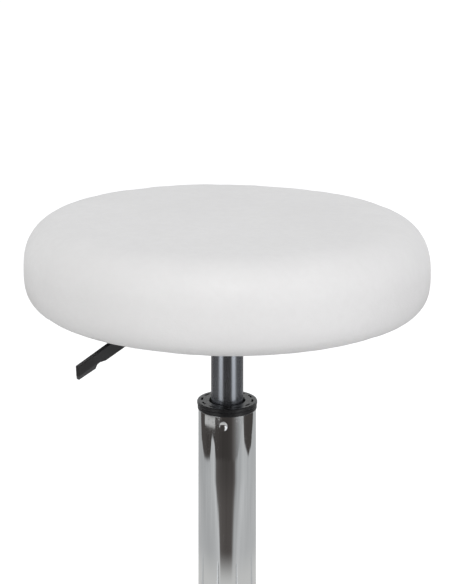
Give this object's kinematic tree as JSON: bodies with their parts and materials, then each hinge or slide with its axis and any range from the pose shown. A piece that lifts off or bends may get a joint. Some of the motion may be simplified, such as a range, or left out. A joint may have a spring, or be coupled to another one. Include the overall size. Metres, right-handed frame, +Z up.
{
  "type": "rolling stool",
  "caption": "Round padded stool on a lever-operated gas lift, with a chromed column and a star base on swivelling twin-wheel casters.",
  "frame": {"origin": "on the floor, on the axis of the column", "axes": "+Z up along the column, towards the seat; -Y towards the person facing the stool, +Y along one base arm; the release lever points to the lower left, 220 degrees from +X towards +Y"},
  "size_m": [0.585, 0.535, 0.4964],
  "materials": {
    "cover": "smooth white faux leather, semi-gloss",
    "foam": "moulded foam",
    "plywood": "raw plywood",
    "dust_cloth": "black non-woven cloth",
    "staple_wire": "galvanised wire",
    "zinc_steel": "zinc plated",
    "black_steel": "black powder coat",
    "black_tube": "satin black",
    "nylon": "natural nylon",
    "black_grip": "satin moulded plastic",
    "black_sleeve": "satin moulded plastic",
    "ground_steel": "ground steel",
    "light_alloy": "machined",
    "black_rubber": "matte",
    "chrome": "polished chrome plate",
    "black_hood": "fine texture",
    "black_wheel": "moulded nylon"
  },
  "bodies": {
    "base": {"column_tube": "chrome", "guide_sleeve": "black_sleeve", "column_end_plate": "zinc_steel", "bearing_lower_washer": "ground_steel", "base_hub": "chrome", "base_arm_1": "chrome", "base_arm_2": "chrome", "base_arm_3": "chrome", "base_arm_4": "chrome", "base_arm_5": "chrome", "caster_sockets": "zinc_steel", "caster_stems": "zinc_steel", "stem_grip_rings": "ground_steel"},
    "rod": {"piston_rod": "ground_steel", "piston_head": "light_alloy", "piston_ring": "black_rubber", "rod_bumper": "black_rubber", "bearing_upper_washer": "ground_steel", "rod_clip": "ground_steel"},
    "bearing": {"ball_cage": "nylon", "bearing_balls": "ground_steel"},
    "seat": {"seat_cover": "cover", "seat_foam": "foam", "seat_board": "plywood", "dust_cover": "dust_cloth", "cover_staples": "staple_wire", "tee_nuts": "zinc_steel", "mount_plate": "black_steel", "taper_socket": "black_steel", "mount_bolts": "zinc_steel", "spring_washers": "zinc_steel", "lever_pivot_pin": "zinc_steel", "pivot_bushes": "nylon", "gas_cylinder": "black_tube", "valve_body": "light_alloy", "rod_guide": "light_alloy", "rod_seal": "black_rubber"},
    "lever": {"lever_arm": "zinc_steel", "lever_grip": "black_grip"},
    "valve": {"valve_pin": "ground_steel"},
    "caster_1": {"caster_hood_1": "black_hood", "caster_axle_1": "ground_steel"},
    "left_wheel_1": {"wheel_left_1": "black_wheel"},
    "right_wheel_1": {"wheel_right_1": "black_wheel"},
    "caster_2": {"caster_hood_2": "black_hood", "caster_axle_2": "ground_steel"},
    "left_wheel_2": {"wheel_left_2": "black_wheel"},
    "right_wheel_2": {"wheel_right_2": "black_wheel"},
    "caster_3": {"caster_hood_3": "black_hood", "caster_axle_3": "ground_steel"},
    "left_wheel_3": {"wheel_left_3": "black_wheel"},
    "right_wheel_3": {"wheel_right_3": "black_wheel"},
    "caster_4": {"caster_hood_4": "black_hood", "caster_axle_4": "ground_steel"},
    "left_wheel_4": {"wheel_left_4": "black_wheel"},
    "right_wheel_4": {"wheel_right_4": "black_wheel"},
    "caster_5": {"caster_hood_5": "black_hood", "caster_axle_5": "ground_steel"},
    "left_wheel_5": {"wheel_left_5": "black_wheel"},
    "right_wheel_5": {"wheel_right_5": "black_wheel"}
  },
  "joints": [
    {"name": "seat_swivel", "type": "hinge", "parent": "base", "child": "rod", "pos_m": [0, 0, 0.0925], "axis": [0, 0, 1], "continuous": true},
    {"name": "bearing_roll", "type": "hinge", "parent": "base", "child": "bearing", "pos_m": [0, 0, 0.0925], "axis": [0, 0, 1], "continuous": true},
    {"name": "seat_lift", "type": "slide", "parent": "rod", "child": "seat", "axis": [0, 0, 1], "range_m": [-0.035, 0.095]},
    {"name": "lever_tilt", "type": "hinge", "parent": "seat", "child": "lever", "pos_m": [-0.03371, -0.02828, 0.414], "axis": [-0.6428, 0.766, 0], "range_deg": [0, 3.9]},
    {"name": "valve_press", "type": "slide", "parent": "seat", "child": "valve", "axis": [0, 0, -1], "range_m": [0, 0.003]},
    {"name": "caster_1_swivel", "type": "hinge", "parent": "base", "child": "caster_1", "pos_m": [0, 0.27, 0.055], "axis": [0, 0, 1], "continuous": true},
    {"name": "caster_1_left_spin", "type": "hinge", "parent": "caster_1", "child": "left_wheel_1", "pos_m": [0, 0.252, 0.025], "axis": [-1, 0, 0], "continuous": true},
    {"name": "caster_1_right_spin", "type": "hinge", "parent": "caster_1", "child": "right_wheel_1", "pos_m": [0, 0.252, 0.025], "axis": [-1, 0, 0], "continuous": true},
    {"name": "caster_2_swivel", "type": "hinge", "parent": "base", "child": "caster_2", "pos_m": [-0.25679, 0.08343, 0.055], "axis": [0, 0, 1], "continuous": true},
    {"name": "caster_2_left_spin", "type": "hinge", "parent": "caster_2", "child": "left_wheel_2", "pos_m": [-0.24241, 0.09427, 0.025], "axis": [0.6018, -0.7986, 0], "continuous": true},
    {"name": "caster_2_right_spin", "type": "hinge", "parent": "caster_2", "child": "right_wheel_2", "pos_m": [-0.24241, 0.09427, 0.025], "axis": [0.6018, -0.7986, 0], "continuous": true},
    {"name": "caster_3_swivel", "type": "hinge", "parent": "base", "child": "caster_3", "pos_m": [-0.1587, -0.21843, 0.055], "axis": [0, 0, 1], "continuous": true},
    {"name": "caster_3_left_spin", "type": "hinge", "parent": "caster_3", "child": "left_wheel_3", "pos_m": [-0.17515, -0.21111, 0.025], "axis": [0.4067, 0.9135, 0], "continuous": true},
    {"name": "caster_3_right_spin", "type": "hinge", "parent": "caster_3", "child": "right_wheel_3", "pos_m": [-0.17515, -0.21111, 0.025], "axis": [0.4067, 0.9135, 0], "continuous": true},
    {"name": "caster_4_swivel", "type": "hinge", "parent": "base", "child": "caster_4", "pos_m": [0.1587, -0.21843, 0.055], "axis": [0, 0, 1], "continuous": true},
    {"name": "caster_4_left_spin", "type": "hinge", "parent": "caster_4", "child": "left_wheel_4", "pos_m": [0.1414, -0.2234, 0.025], "axis": [-0.2756, 0.9613, 0], "continuous": true},
    {"name": "caster_4_right_spin", "type": "hinge", "parent": "caster_4", "child": "right_wheel_4", "pos_m": [0.1414, -0.2234, 0.025], "axis": [-0.2756, 0.9613, 0], "continuous": true},
    {"name": "caster_5_swivel", "type": "hinge", "parent": "base", "child": "caster_5", "pos_m": [0.25679, 0.08343, 0.055], "axis": [0, 0, 1], "continuous": true},
    {"name": "caster_5_left_spin", "type": "hinge", "parent": "caster_5", "child": "left_wheel_5", "pos_m": [0.27323, 0.07611, 0.025], "axis": [-0.4067, -0.9135, 0], "continuous": true},
    {"name": "caster_5_right_spin", "type": "hinge", "parent": "caster_5", "child": "right_wheel_5", "pos_m": [0.27323, 0.07611, 0.025], "axis": [-0.4067, -0.9135, 0], "continuous": true}
  ],
  "couplings": [
    {"joint": "bearing_roll", "follows": "seat_swivel", "ratio": 0.5},
    {"joint": "valve_press", "follows": "lever_tilt", "m_per_rad": 0.044}
  ]
}
